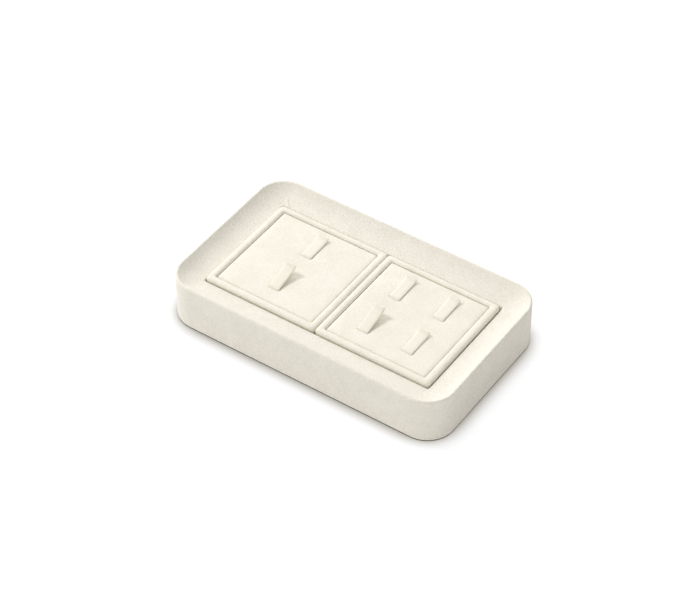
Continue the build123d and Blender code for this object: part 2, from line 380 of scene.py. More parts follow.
def coverLoftTree():
    # A cover stretched between two level rails; a section's X goes from the outer to the inner, and its Y up
    tree, entry, leave = newGeometryTree("coverLoft", {
        "Outer Rail": ("NodeSocketObject", None),
        "Inner Rail": ("NodeSocketObject", None),
        "Section": ("NodeSocketObject", None),
        "Ripple Height": ("NodeSocketFloat", 0.05 * mm),
        "Ripple Size": ("NodeSocketFloat", 20 * mm),
        "Seed": ("NodeSocketFloat", 1.0),
        "Material": ("NodeSocketMaterial", None),
    })
    rails = curvesOf(tree, entry, "Outer Rail", "Inner Rail", "Section")
    alongCount, acrossCount = [
        step(tree, "GeometryNodeAttributeDomainSize", {"Geometry": rails[k]}, component="CURVE").outputs["Point Count"]
        for k in (0, 2)
    ]
    acrossEnd = mathNode(tree, "ADD", acrossCount, 1.0)
    sheet = step(tree, "GeometryNodeMeshGrid", {
        "Size X": 1.0, "Size Y": 1.0, "Vertices X": mathNode(tree, "ADD", alongCount, 1.0), "Vertices Y": acrossEnd,
    })
    index = step(tree, "GeometryNodeInputIndex").outputs[0]
    row = mathNode(tree, "FLOOR", mathNode(tree, "DIVIDE", mathNode(tree, "ADD", index, 0.5), acrossEnd))
    column = mathNode(tree, "SUBTRACT", index, mathNode(tree, "MULTIPLY", row, acrossEnd))
    along = mathNode(tree, "MODULO", row, alongCount)
    across = mathNode(tree, "MODULO", column, acrossCount)
    place = step(tree, "GeometryNodeInputPosition").outputs[0]

    def read(curve, number):
        return step(tree, "GeometryNodeSampleIndex", {"Geometry": curve, "Value": place, "Index": number},
                    data_type="FLOAT_VECTOR", domain="POINT").outputs[0]

    section = step(tree, "ShaderNodeSeparateXYZ", {0: read(rails[2], across)})
    outer, inner = read(rails[0], along), read(rails[1], along)
    inwards = vectorMath(tree, "SCALE", vectorMath(tree, "SUBTRACT", inner, outer), section.outputs["X"])
    up = step(tree, "ShaderNodeCombineXYZ", {"Z": section.outputs["Y"]}).outputs[0]
    target = vectorMath(tree, "ADD", vectorMath(tree, "ADD", outer, inwards), up)
    lofted = step(tree, "GeometryNodeSetPosition", {"Geometry": sheet.outputs["Mesh"], "Position": target})
    closed = step(tree, "GeometryNodeMergeByDistance", {"Geometry": lofted.outputs[0], "Distance": 1e-6})
    wave = waveNode(tree, place, entry, "Ripple Size", 1.5)
    height = mathNode(tree, "MULTIPLY", wave, entry.outputs["Ripple Height"])
    outward = step(tree, "GeometryNodeInputNormal").outputs[0]
    uneven = step(tree, "GeometryNodeSetPosition", {
        "Geometry": closed.outputs[0], "Offset": vectorMath(tree, "SCALE", outward, height),
    })
    finishTree(tree, uneven.outputs[0], entry.outputs["Material"], leave)
    return tree


def clipSkinTree():
    # A flat tube along a clip: its ends are drawn in at the corners, then it turns about the clip's pivot
    tree, entry, leave = newGeometryTree("clipSkin", {
        "Rail": ("NodeSocketObject", None),
        "Section": ("NodeSocketObject", None),
        "Half Width": ("NodeSocketFloat", 3.25 * mm),
        "Half Thickness": ("NodeSocketFloat", 0.6 * mm),
        "Tip Corner": ("NodeSocketFloat", 0.7 * mm),
        "Tip Edge": ("NodeSocketFloat", 0.35 * mm),
        "Raised Angle": ("NodeSocketFloat", 0.0),
        "Pivot": ("NodeSocketVector", None),
        "Crumple": ("NodeSocketFloat", 0.1 * mm),
        "Crumple Size": ("NodeSocketFloat", 3 * mm),
        "Seed": ("NodeSocketFloat", 1.0),
        "Material": ("NodeSocketMaterial", None),
    })
    rail, section = curvesOf(tree, entry, "Rail", "Section")
    place = step(tree, "GeometryNodeInputPosition").outputs[0]

    def keep(geometry, items):
        made = tree.nodes.new("GeometryNodeCaptureAttribute")
        tree.links.new(geometry, made.inputs["Geometry"])
        for label, (kind, value) in items.items():
            made.capture_items.new(kind, label)
            tree.links.new(value, made.inputs[label])
        return made

    length = step(tree, "GeometryNodeSplineLength").outputs["Length"]
    gone = step(tree, "GeometryNodeSplineParameter").outputs["Length"]
    keptRail = keep(rail, {
        "Place": ("VECTOR", place),
        "Way": ("VECTOR", step(tree, "GeometryNodeInputTangent").outputs[0]),
        "Left": ("FLOAT", mathNode(tree, "SUBTRACT", length, gone)),
    })
    keptSection = keep(section, {"Place": ("VECTOR", place)})
    swept = step(tree, "GeometryNodeCurveToMesh", {
        "Curve": keptRail.outputs["Geometry"], "Profile Curve": keptSection.outputs["Geometry"], "Fill Caps": True,
    })

    def drawnIn(half, radius):
        # 1 along the strap, falling as a quarter circle within radius of its end
        short = mathNode(tree, "MAXIMUM", mathNode(tree, "SUBTRACT", radius, keptRail.outputs["Left"]), 0.0)
        whole, missing = [mathNode(tree, "MULTIPLY", value, value) for value in (radius, short)]
        square = mathNode(tree, "SUBTRACT", whole, missing)
        drop = mathNode(tree, "SUBTRACT", radius, mathNode(tree, "SQRT", mathNode(tree, "MAXIMUM", square, 0.0)))
        return mathNode(tree, "SUBTRACT", 1.0, mathNode(tree, "DIVIDE", drop, half))

    across = step(tree, "ShaderNodeSeparateXYZ", {0: keptSection.outputs["Place"]})
    narrower = drawnIn(entry.outputs["Half Width"], entry.outputs["Tip Corner"])
    thinner = drawnIn(entry.outputs["Half Thickness"], entry.outputs["Tip Edge"])
    beside = mathNode(tree, "MULTIPLY", across.outputs["X"], narrower)
    above = mathNode(tree, "MULTIPLY", across.outputs["Y"], thinner)
    sideways = step(tree, "ShaderNodeCombineXYZ", {"X": beside}).outputs[0]
    facing = vectorMath(tree, "CROSS_PRODUCT", (1.0, 0.0, 0.0), keptRail.outputs["Way"])
    upwards = vectorMath(tree, "SCALE", facing, above)
    flat = vectorMath(tree, "ADD", keptRail.outputs["Place"], vectorMath(tree, "ADD", sideways, upwards))
    turned = step(tree, "ShaderNodeVectorRotate", {"Vector": flat, "Angle": entry.outputs["Raised Angle"]},
                  rotation_type="X_AXIS")
    placed = step(tree, "GeometryNodeSetPosition", {
        "Geometry": swept.outputs[0], "Position": vectorMath(tree, "ADD", turned.outputs[0], entry.outputs["Pivot"]),
    })
    unturned = vectorMath(tree, "ADD", keptRail.outputs["Place"], keptSection.outputs["Place"])
    wave = waveNode(tree, unturned, entry, "Crumple Size", 1.0)
    # The cloth is crumpled most at the tip, and half as much this far from it
    fade = 4 * mm
    nearTip = mathNode(tree, "DIVIDE", fade, mathNode(tree, "ADD", keptRail.outputs["Left"], fade))
    most = mathNode(tree, "MULTIPLY", entry.outputs["Crumple"], nearTip)
    uneven = mathNode(tree, "MULTIPLY", wave, most)
    crumpled = step(tree, "GeometryNodeSetPosition", {
        "Geometry": placed.outputs[0],
        "Offset": step(tree, "ShaderNodeCombineXYZ", {"Z": uneven}).outputs[0],
    })
    finishTree(tree, crumpled.outputs[0], entry.outputs["Material"], leave)
    return tree


def runTree(name, tree, values):
    # The tree's result as a plain mesh object
    holder = link(bpy.data.objects.new(name + "Holder", bpy.data.meshes.new(name + "Holder")))
    modifier = holder.modifiers.new("nodes", "NODES")
    modifier.node_group = tree
    sockets = {s.name: s.identifier for s in tree.interface.items_tree if s.in_out == "INPUT"}
    for label, value in values.items():
        modifier[sockets[label]] = value
    mesh = bpy.data.meshes.new_from_object(holder.evaluated_get(bpy.context.evaluated_depsgraph_get()))
    holder.modifiers.clear()
    bpy.data.objects.remove(holder)
    mesh.name = name
    return link(bpy.data.objects.new(name, mesh))


def polyCurve(name, points, closed):
    curve = bpy.data.curves.new(name, "CURVE")
    curve.dimensions = "3D"
    spline = curve.splines.new("POLY")
    spline.points.add(len(points) - 1)
    for point, place in zip(spline.points, points):
        point.co = (*place, *([0.0] * (3 - len(place))), 1.0)
    spline.use_cyclic_u = closed
    return link(bpy.data.objects.new(name, curve))


coverLoft = coverLoftTree()
clipSkin = clipSkinTree()


def stretchCover(name, outerLoop, innerLoop, section, centre, ripple, material):
    # Loops and section are in millimetres; the section's X is from 0 at the outer loop to 1 at the inner
    middle = Vector((centre.x, centre.y, 0))
    rails = [polyCurve(name + "Rail", [Vector((x * mm, y * mm, 0)) + middle for x, y in loop], True)
             for loop in (outerLoop, innerLoop)]
    drawn = polyCurve(name + "Section", [(x, z * mm) for x, z in section], True)
    piece = runTree(name, coverLoft, {
        "Outer Rail": rails[0], "Inner Rail": rails[1], "Section": drawn, "Ripple Height": ripple["height"] * mm,
        "Ripple Size": ripple["size"] * mm, "Seed": ripple["seed"], "Material": material,
    })
    for curve in (*rails, drawn):
        bpy.data.objects.remove(curve)
    closeAndSmooth(piece)
    return piece


# The tray's cover: the cloth over the wall, the crest and the dish, and down into the well

trayCoverLook = {
    "cloth": 0.75, "edgeRadius": 1.2, "crestRadius": 1.0, "crestSlope": 44.5, "middleSlope": 14, "lipSlope": 6,
    "steepWidth": 7.66, "gentleWidth": 5.1, "lipRadius": 1.0, "hemWidth": 6.0, "wellCorner": 0.6,
    "alongSteps": 56, "acrossSteps": 28, "cornerSteps": 24,
    "steps": {"hem": 6, "edge": 7, "wall": 12, "crest": 14, "steep": 12, "gentle": 7, "lip": 9, "well": 8},
    "ripple": {"height": 0.12, "size": 26.0, "seed": 3.0},
    "pleatCount": 11, "pleatDepth": 0.25, "pleatBelow": 0.3, "pleatStart": 0.2, "pleatRise": 2,
    "creaseAbove": 5, "creaseFiner": 3, "creaseCuts": 4,
    "creases": [
        {"start": (-65.6, 34.9), "end": (-71.4, 41.1), "height": 0.42, "halfWidth": 0.75},
        {"start": (72.0, 37.4), "end": (79.0, 44.4), "height": 0.12, "halfWidth": 0.9},
    ],
}


def rimSurface(look, height, inset, floor):
    # One face of the cover, from the hem over the crest and down to the well's floor; X runs inwards
    slopes = [math.radians(look[k]) for k in ("crestSlope", "middleSlope", "lipSlope")]
    normals = [Vector((math.sin(a), math.cos(a))) for a in slopes]
    steep = look["steepWidth"] / (normals[0].x - normals[1].x)
    gentle = look["gentleWidth"] / (normals[1].x - normals[2].x)
    crest = Vector((look["crestRadius"], height - look["crestRadius"]))
    steepCentre = crest + normals[0] * (look["crestRadius"] + steep)
    gentleCentre = steepCentre + normals[1] * (gentle - steep)
    lip = gentleCentre - normals[2] * (gentle + look["lipRadius"])
    edge = (look["edgeRadius"], look["edgeRadius"])
    rimWidth = lip.x + look["lipRadius"]
    steps, hollow = look["steps"], [270 - look[k] for k in ("crestSlope", "middleSlope", "lipSlope")]
    points = stepsBetween((look["hemWidth"], inset), (edge[0], inset), steps["hem"])
    points += arcPoints(edge, look["edgeRadius"] - inset, 270, 180, steps["edge"])
    points += stepsBetween(points.pop(), (inset, crest.y), steps["wall"])
    points += arcPoints(crest, look["crestRadius"] - inset, 180, 90 - look["crestSlope"], steps["crest"])
    points += arcPoints(steepCentre, steep + inset, hollow[0], hollow[1], steps["steep"])
    points += arcPoints(gentleCentre, gentle + inset, hollow[1], hollow[2], steps["gentle"])
    points += arcPoints(lip, look["lipRadius"] - inset, 90 - look["lipSlope"], 0, steps["lip"])
    foot = (rimWidth - inset, floor)
    points += stepsBetween(points.pop(), foot, steps["well"]) + [foot]
    return points, rimWidth


def trayCoverPiece(look):
    low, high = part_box("rim_cover")
    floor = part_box("base_board")[1].z / mm
    outside, rimWidth = rimSurface(look, high.z / mm, 0.0, floor)
    inside = rimSurface(look, high.z / mm, look["cloth"], floor)[0]
    section = [(s / rimWidth, z) for s, z in withoutRepeats(outside + inside[::-1])]
    length, width = (high.x - low.x) / mm, (high.y - low.y) / mm
    counts = (look["alongSteps"], look["acrossSteps"], look["cornerSteps"])
    corner = rimWidth + look["wellCorner"]
    outer = roundedLoop(length, width, corner, *counts)
    inner = roundedLoop(length - 2 * rimWidth, width - 2 * rimWidth, look["wellCorner"], *counts)
    piece = stretchCover("tray_cover", outer, inner, section, (low + high) / 2, look["ripple"], traySuede)
    pleatHem(piece, look, high.x - corner * mm, high.y - corner * mm, corner * mm)
    for crease in look["creases"]:
        creaseCover(piece, look, crease, (floor + look["creaseAbove"]) * mm)
    return piece


def creaseCover(piece, look, crease, lowest):
    # A low fold in the dish, along a line seen from above; the cover is made finer there first
    start, end = [Vector(crease[k]) * mm for k in ("start", "end")]
    way, half = end - start, crease["halfWidth"] * mm
    work = bmesh.new()
    work.from_mesh(piece.data)

    def fold(point):
        # The height, 1 on the line's middle and 0 at both ends and half a width away, and whether the line is near
        share = (point.xy - start).dot(way) / way.length_squared
        away = (point.xy - start - way * share).length / half
        beside = 0 < share < 1 and point.z > lowest
        height = (1 - away * away) ** 2 * math.sin(math.pi * share) ** 0.5 if beside and away <= 1 else 0.0
        return height, beside and away < look["creaseFiner"]

    near = [edge for edge in work.edges if any(fold(v.co)[1] for v in edge.verts)]
    bmesh.ops.subdivide_edges(work, edges=near, cuts=look["creaseCuts"], use_grid_fill=True)
    for vertex in work.verts:
        vertex.co.z += fold(vertex.co)[0] * crease["height"] * mm
    bmesh.ops.triangulate(work, faces=[face for face in work.faces if len(face.verts) > 4])
    work.to_mesh(piece.data)
    work.free()


def pleatHem(piece, look, cornerX, cornerY, radius):
    # Underneath, the turned-in hem is gathered into small pleats round each corner, pleatCount to a quarter turn
    for vertex in piece.data.vertices:
        vertex.co.z = max(vertex.co.z, 0.0)
        outX, outY = abs(vertex.co.x) - cornerX, abs(vertex.co.y) - cornerY
        if vertex.co.z < look["pleatBelow"] * mm and outX > 0 and outY > 0:
            reach = (radius - math.hypot(outX, outY)) / (look["hemWidth"] * mm)
            wave = 0.5 - 0.5 * math.cos(4 * look["pleatCount"] * math.atan2(outY, outX))
            strength = min(1.0, max(0.0, reach - look["pleatStart"]) * look["pleatRise"])
            vertex.co.z += look["pleatDepth"] * mm * wave * strength


trayCover = trayCoverPiece(trayCoverLook)
dress(trayCover, "tray", "suede", "rim_cover")
print("tray cover:", len(trayCover.data.polygons), "faces")


# Flat cloths: the well's lining, and the panel under the tray

# The rounded edge from bottom to top, as shares of the soft edge inwards and of the thickness upwards
clothEdge = ((1, 0.0), (0.3, 0.15), (0.0, 0.5), (0.3, 0.85), (1, 1))
wellLiningLook = {"edge": 0.3, "corner": 0.5, "steps": (40, 24, 5)}
basePanelLook = {"edge": 0.3, "corner": 9.7, "steps": (40, 24, 16)}


def flatCloth(name, covered, look, material):
    low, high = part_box(covered)
    middle, thick = (low + high) / 2, (high.z - low.z) / mm
    length, width = (high.x - low.x) / mm, (high.y - low.y) / mm
    levels = [(inShare * look["edge"], upShare * thick) for inShare, upShare in clothEdge]
    points, faces = [], []
    for inset, z in levels:
        loop = roundedLoop(length - 2 * inset, width - 2 * inset, look["corner"] - inset, *look["steps"])
        points += [(middle.x + x * mm, middle.y + y * mm, low.z + z * mm) for x, y in loop]
    count = len(points) // len(levels)
    for level in range(len(levels) - 1):
        for k in range(count):
            a, b = level * count + k, level * count + (k + 1) % count
            faces.append((a, b, b + count, a + count))
    faces += [range(count)[::-1], range(len(points) - count, len(points))]
    piece = meshPiece(name, points, faces, material)
    closeAndSmooth(piece)
    return piece


wellLining = flatCloth("well_lining_cloth", "well_lining", wellLiningLook, traySuede)
dress(wellLining, "tray", "suede", "well_lining")

basePanel = flatCloth("base_panel_cloth", "base_cloth", basePanelLook, underSuede)
dress(basePanel, "tray", "base_suede", "base_cloth")
print("flat cloths made")


# The raised border of each insert

borderLook = {
    "cloth": 0.75, "width": 4.0, "frontBackWidth": 3.4, "outerCorner": 2.0, "innerCorner": 1.0,
    "topRound": 1.55, "fullness": 2.6, "hemRound": 0.8, "leastRound": 0.05, "bulge": 0.05, "bulgeStart": 3,
    "frontSwell": 0.45, "rightSwell": 0.35, "backDraw": 0.08, "leftDraw": 0.04,
    "sideSteps": 40, "cornerSteps": 8, "steps": {"hem": 4, "turn": 5, "wall": 9, "top": 20, "window": 7},
    "ripple": {"height": 0.10, "size": 12.0, "seed": 7.0},
}


def borderSurface(look, bottom, top, ledge, inset):
    # One face of the cover, from the hem under the base, up the outside, over the top and down the window's wall
    half = look["width"] / 2 - inset
    tall = look["topRound"] * half / (look["width"] / 2)
    shoulder = top - inset - tall
    hem, steps = look["hemRound"], look["steps"]
    points = stepsBetween((look["width"], bottom + inset), (hem, bottom + inset), steps["hem"])
    points += arcPoints((hem, bottom + hem), hem - min(inset, hem - look["leastRound"]), 270, 180, steps["turn"])
    points += stepsBetween(points.pop(), (inset, shoulder), steps["wall"])
    for k in range(steps["top"] + 1):
        across = -math.cos(math.pi * k / steps["top"])
        lift = (1 - abs(across) ** look["fullness"]) ** (1 / look["fullness"])
        points.append((look["width"] / 2 + half * across, shoulder + tall * lift))
    wall = look["width"] - inset
    points += stepsBetween((wall, shoulder), (wall, ledge), steps["window"])[1:] + [(wall, ledge)]

    def padded(x, z):
        # The outside swells over the padding
        foot = min(1.0, max(0.0, (z - bottom) / look["bulgeStart"]))
        rise = foot * min(1.0, max(0.0, (top - z) / look["topRound"])) ** 0.5
        return x - look["bulge"] * rise * max(0.0, 1 - x / look["width"] * 2), z

    return [padded(x, z) for x, z in points]


def borderPiece(side, look):
    low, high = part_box(side + "_border_cover")
    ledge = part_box(side + "_insert_base")[1].z / mm
    levels = (low.z / mm, high.z / mm, ledge)
    skins = borderSurface(look, *levels, 0.0) + borderSurface(look, *levels, look["cloth"])[::-1]
    section = [(s / look["width"], z) for s, z in withoutRepeats(skins)]
    length, width = (high.x - low.x) / mm, (high.y - low.y) / mm
    counts = (look["sideSteps"], look["sideSteps"], look["cornerSteps"])
    # The cloth swells at the front and at the right insert's right side, and is drawn in at the back and at the left
    # insert's left side. The loop is then moved, to keep its other sides in place
    swell, draw = (look["rightSwell"], 0.0) if side == "right" else (0.0, look["leftDraw"])
    front, back = look["frontSwell"], look["backDraw"]
    outer = roundedLoop(length + swell - draw, width + front - back, look["outerCorner"], *counts)
    outer = [(x + (swell + draw) / 2, y - (front + back) / 2) for x, y in outer]
    inner = roundedLoop(length - 2 * look["width"], width - 2 * look["frontBackWidth"], look["innerCorner"], *counts)
    ripple = dict(look["ripple"], seed=look["ripple"]["seed"] + (side == "right"))
    return stretchCover(side + "_border_cloth", outer, inner, section, (low + high) / 2, ripple, padSuede)


for side in ("left", "right"):
    border = borderPiece(side, borderLook)
    dress(border, side + "_insert", "suede", side + "_border_cover")
print("borders covered")


# The pads

padLook = {
    "cloth": 0.8, "edge": 0.95, "corner": 0.9, "swell": 0.35, "crown": 0.1,
    "gridStep": 1.6, "edgeLines": (0.12, 0.4, 1.3, 2.2), "lipLines": (0.2, 0.45, 0.95),
    "slitLength": 6.45, "slitFront": -0.66, "slitBack": 0.55, "lipDrop": 0.12, "lipReach": 0.5,
    "dentFloor": 0.06, "dentReach": 0.4, "bowRadius": 258.0, "dentFade": 1.5,
    "simScale": 20.0, "simFrames": 20, "pressure": 3.0, "mostMove": 0.12,
}


def clipJoints(side):
    # Where each clip of an insert turns, by name
    return {joint["child"]: Vector(joint["pos_m"]) for joint in frame["joints"]
            if joint["type"] == "hinge" and joint["parent"] == side + "_insert"}


def gridLines(low, high, step, fixed):
    stops = sorted({low, high, *fixed})
    lines = []
    for a, b in zip(stops, stops[1:]):
        lines += [p[0] for p in stepsBetween((a,), (b,), max(1, round((b - a) / step)))]
    return lines + [high]


def padPiece(side, look):
    # A closed padded plate: rounded top, slits for the clips, and walls that go down round the board
    low, high = (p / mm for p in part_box(side + "_pad_cover"))
    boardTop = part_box(side + "_pad_board")[1].z / mm
    middle, half = (low + high) / 2, (high - low) / 2
    pivots = [p / mm for p in clipJoints(side).values()]
    slitAt = Vector((0, (look["slitFront"] + look["slitBack"]) / 2))
    halfSlit = Vector((look["slitLength"] / 2, (look["slitBack"] - look["slitFront"]) / 2))

    def lines(axis):
        edges = (*look["edgeLines"], look["cloth"])
        fixed = [low[axis] + e for e in edges] + [high[axis] - e for e in edges]
        for pivot in pivots:
            for sign in (-1, 1):
                lip = pivot[axis] + slitAt[axis] + sign * halfSlit[axis]
                fixed += [lip] + [lip + sign * n for n in look["lipLines"]]
        return gridLines(low[axis], high[axis], look["gridStep"], [round(v, 6) for v in fixed])

    xs, ys = lines(0), lines(1)

    def fromSlit(x, y):
        # Distance outside the nearest slit, 0 on its lip and below 0 over it
        gaps = [(abs(x - p.x) - halfSlit.x, abs(y - p.y - slitAt.y) - halfSlit.y) for p in pivots]
        return min(math.hypot(max(a, 0), max(b, 0)) if max(a, b) > 0 else max(a, b) for a, b in gaps)

    def rounded(x, y):
        # Draws the square corners of the grid in to the pad's corner radius
        reach = [abs(v - m) - (h - look["corner"]) for v, m, h in ((x, middle.x, half.x), (y, middle.y, half.y))]
        if min(reach) <= 0:
            return x, y
        pull = 1 - max(reach) / math.hypot(*reach)
        return (x - math.copysign(reach[0] * pull, x - middle.x), y - math.copysign(reach[1] * pull, y - middle.y))

    def underStrap(x, y, height):
        # How far the closed straps, which bow upwards, press the pad in
        deepest = 0.0
        for p in pivots:
            ahead = y - p.y
            beside = max(abs(x - p.x) - halfSlit.x, 0) + max(-ahead, 0)
            press = height - (high.z + look["dentFloor"] + ahead * ahead / 2 / look["bowRadius"])
            deepest = max(deepest, press * math.exp(-(beside / look["dentReach"]) ** look["dentFade"]))
        return deepest

    def topHeight(x, y):
        edge = min(half.x - abs(x - middle.x), half.y - abs(y - middle.y))
        crown = look["crown"] * (1 - ((x - middle.x) / half.x) ** 4) * (1 - ((y - middle.y) / half.y) ** 4)
        height = high.z + look["swell"] + crown - softEdge(edge, look["edge"])
        dimple = look["lipDrop"] * math.exp(-(max(fromSlit(x, y), 0) / look["lipReach"]) ** look["dentFade"])
        return height - max(dimple, underStrap(x, y, height))

    columns, rows = range(len(xs) - 1), range(len(ys) - 1)
    cells = {}
    for i in columns:
        for j in rows:
            x, y = (xs[i] + xs[i + 1]) / 2, (ys[j] + ys[j + 1]) / 2
            if fromSlit(x, y) > 0:
                inWall = min(half.x - abs(x - middle.x), half.y - abs(y - middle.y)) < look["cloth"]
                cells[i, j] = low.z if inWall else boardTop
    points, index, faces = [], {}, []

    def corner(i, j, level):
        # level is a height, or None for the top
        if (i, j, level) not in index:
            index[i, j, level] = len(points)
            x, y = rounded(xs[i], ys[j])
            points.append((x, y, topHeight(xs[i], ys[j]) if level is None else level))
        return index[i, j, level]

    for (i, j), floor in cells.items():
        ring = ((i, j), (i + 1, j), (i + 1, j + 1), (i, j + 1))
        faces.append([corner(*p, None) for p in ring])
        faces.append([corner(*p, floor) for p in ring[::-1]])
        for side4, other in enumerate(((i, j - 1), (i + 1, j), (i, j + 1), (i - 1, j))):
            a, b = ring[side4], ring[(side4 + 1) % 4]
            if other not in cells:
                faces.append([corner(*a, floor), corner(*b, floor), corner(*b, None), corner(*a, None)])
            elif cells[other] > floor:
                rise = cells[other]
                wall = [corner(*a, floor), corner(*a, rise), corner(*b, rise), corner(*b, floor)]
                faces.append(wall[::-1])
    free = [index[i, j, None] for i in range(1, len(xs) - 1) for j in range(1, len(ys) - 1)
            if (i, j, None) in index and fromSlit(xs[i], ys[j]) > 1e-4]
    piece = meshPiece(side + "_pad", [tuple(v * mm for v in p) for p in points], faces, padSuede)
    return piece, free


def settleCloth(piece, free, look):
    # Swells a scaled-up copy of the pad by cloth simulation and brings the movement back, softly limited
    start = np.array([v.co[:] for v in piece.data.vertices])
    middle = start.mean(axis=0)
    copy = link(bpy.data.objects.new(piece.name + "Sim", piece.data.copy()))
    copy.data.vertices.foreach_set("co", ((start - middle) * look["simScale"]).ravel())
    pins = copy.vertex_groups.new(name="pins")
    pins.add(sorted(set(range(len(start))) - set(free)), 1.0, "REPLACE")
    cloth = copy.modifiers.new("cloth", "CLOTH")
    cloth.settings.vertex_group_mass = "pins"
    cloth.settings.use_pressure = True
    cloth.settings.uniform_pressure_force = look["pressure"]
    cloth.settings.effector_weights.gravity = 0.0
    cloth.collision_settings.use_collision = False
    cloth.point_cache.frame_start, cloth.point_cache.frame_end = 1, look["simFrames"]
    for number in range(1, look["simFrames"] + 1):
        bpy.context.scene.frame_set(number)
    shown = copy.evaluated_get(bpy.context.evaluated_depsgraph_get())
    mesh = shown.to_mesh()
    end = np.array([v.co[:] for v in mesh.vertices]) / look["simScale"] + middle
    shown.to_mesh_clear()
    bpy.data.objects.remove(copy)
    bpy.context.scene.frame_set(1)
    move = end - start
    size = np.linalg.norm(move, axis=1, keepdims=True) + 1e-12
    most = look["mostMove"] * mm
    piece.data.vertices.foreach_set("co", (start + move / size * most * np.tanh(size / most)).ravel())
    print(piece.name, "swelled by up to", round(float(size.max()) / mm, 3), "mm before the limit")


for side in ("left", "right"):
    pad, freePoints = padPiece(side, padLook)
    settleCloth(pad, freePoints, padLook)
    closeAndSmooth(pad)
    finer = pad.modifiers.new("finer", "SUBSURF")
    finer.levels = finer.render_levels = 1
    dress(pad, side + "_insert", "suede", side + "_pad_cover", side + "_pad_foam")
print("pads made")


# The clips' cloth sleeves

sleeveLook = {
    "halfWidth": 3.25, "halfThickness": 0.47, "wall": 0.25, "edgeRound": 0.42, "dome": 0.15,
    "seamDepth": 0.1, "seamWidth": 0.5, "seamReach": 1.6, "bowLength": 13.5, "bowSlope": 3.0, "middleHeight": 0.2,
    "tipRadius": 4.5, "tipSlope": 36, "tipStraight": 0.8, "tipCorner": 0.6, "tipEdge": 0.3, "innerTipEdge": 0.05,
    "tipStops": (0.3, 0.55, 0.72, 0.84, 0.92, 0.97, 1.0), "rootDepth": 2.3, "rootBend": 0.95, "rootBehind": 0.2,
    "steps": {"root": 6, "bend": 9, "bow": 21, "tip": 10, "side": 6, "top": 12}, "crumple": 0.45, "crumpleSize": 2.4,
}


def sleeveRail(look, shorter):
    # The strap's middle line about its pivot, from inside the slit to the tip, as (y, z)
    bend, behind, level, steps = look["rootBend"], look["rootBehind"], look["middleHeight"], look["steps"]
    points = stepsBetween((-behind, -look["rootDepth"]), (-behind, level - bend), steps["root"])
    points += arcPoints((bend - behind, level - bend), bend, 180, 90, steps["bend"])
    turn = math.radians(look["bowSlope"])
    bowRadius = look["bowLength"] / math.sin(turn)
    bow = arcPoints((0.0, level + bowRadius), bowRadius, 270, 270 + look["bowSlope"], steps["bow"])
    points += [p for p in bow if p[0] > points[-1][0]]
    toBend = bowRadius - look["tipRadius"]
    bendCentre = (toBend * math.sin(turn), level + bowRadius - toBend * math.cos(turn))
    tip = arcPoints(bendCentre, look["tipRadius"], 270 + look["bowSlope"], 270 + look["tipSlope"], steps["tip"])
    way = Vector((math.cos(math.radians(look["tipSlope"])), math.sin(math.radians(look["tipSlope"]))))
    points += tip[1:]
    for share in look["tipStops"]:
        points.append(tuple(Vector(tip[-1]) + way * share * (look["tipStraight"] - shorter)))
    return [(0.0, y * mm, z * mm) for y, z in points]


def sleeveSection(look, inset):
    # A flat oblong with round edges and, outside, a seam along the middle of the underside
    side, top = look["steps"]["side"], look["steps"]["top"]
    halfW, halfT = look["halfWidth"] - inset, look["halfThickness"] - inset
    r = min(look["edgeRound"], halfT * 0.9)
    sideX, topZ = halfW - r, halfT - r
    right = arcPoints((sideX, -topZ), r, -90, 0, side) + arcPoints((sideX, topZ), r, 0, 90, side)
    left = arcPoints((-sideX, topZ), r, 90, 180, side) + arcPoints((-sideX, -topZ), r, 180, 270, side)
    across = stepsBetween(right[-1], left[0], top)
    dome = look["dome"] if inset == 0 else 0.0
    points = right + [(x, z + dome * (1 - (x / sideX) ** 6)) for x, z in across] + left
    if inset == 0:
        seam, reach = look["seamWidth"], look["seamReach"]
        stops = ((-reach, 0), (-seam, 0), (-seam / 3, 0.8), (0, 1), (seam / 3, 0.8), (seam, 0), (reach, 0))
        points += [(x, rise * look["seamDepth"] - halfT) for x, rise in stops]
    return [(x * mm, z * mm) for x, z in withoutRepeats(points)]


def sleevePiece(name, pivot, angle, look, seed):
    skins = []
    for inset, shorter in ((0.0, 0.0), (look["wall"], look["wall"])):
        rail = polyCurve(name + "Rail", sleeveRail(look, shorter), False)
        section = polyCurve(name + "Section", sleeveSection(look, inset), True)
        skin = runTree(name + "_cloth", clipSkin, {
            "Rail": rail, "Section": section, "Half Width": (look["halfWidth"] - inset) * mm,
            "Half Thickness": (look["halfThickness"] - inset) * mm, "Tip Corner": look["tipCorner"] * mm,
            "Tip Edge": look["innerTipEdge" if inset else "tipEdge"] * mm, "Raised Angle": angle, "Pivot": pivot,
            "Crumple": look["crumple"] * mm, "Crumple Size": look["crumpleSize"] * mm, "Seed": seed,
            "Material": sleeveSuede,
        })
        for curve in (rail, section):
            bpy.data.objects.remove(curve)
        closeAndSmooth(skin)
        skins.append(skin)
    outer, inner = skins
    work = bmesh.new()
    work.from_mesh(inner.data)
    bmesh.ops.reverse_faces(work, faces=work.faces)
    work.from_mesh(outer.data)
    work.to_mesh(outer.data)
    work.free()
    bpy.data.objects.remove(inner)
    return outer


for side in ("left", "right"):
    for number, (clip, pivot) in enumerate(clipJoints(side).items()):
        closed = next(joint for joint in frame["joints"] if joint["child"] == clip)["range_deg"][0]
        seed = 2.3 * number + len(side)
        sleeve = sleevePiece(clip + "_sleeve", pivot, math.radians(-closed), sleeveLook, seed)
        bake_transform(sleeve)
        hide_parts(clip + "_sleeve")
print("clips dressed")


# Floor, light and camera

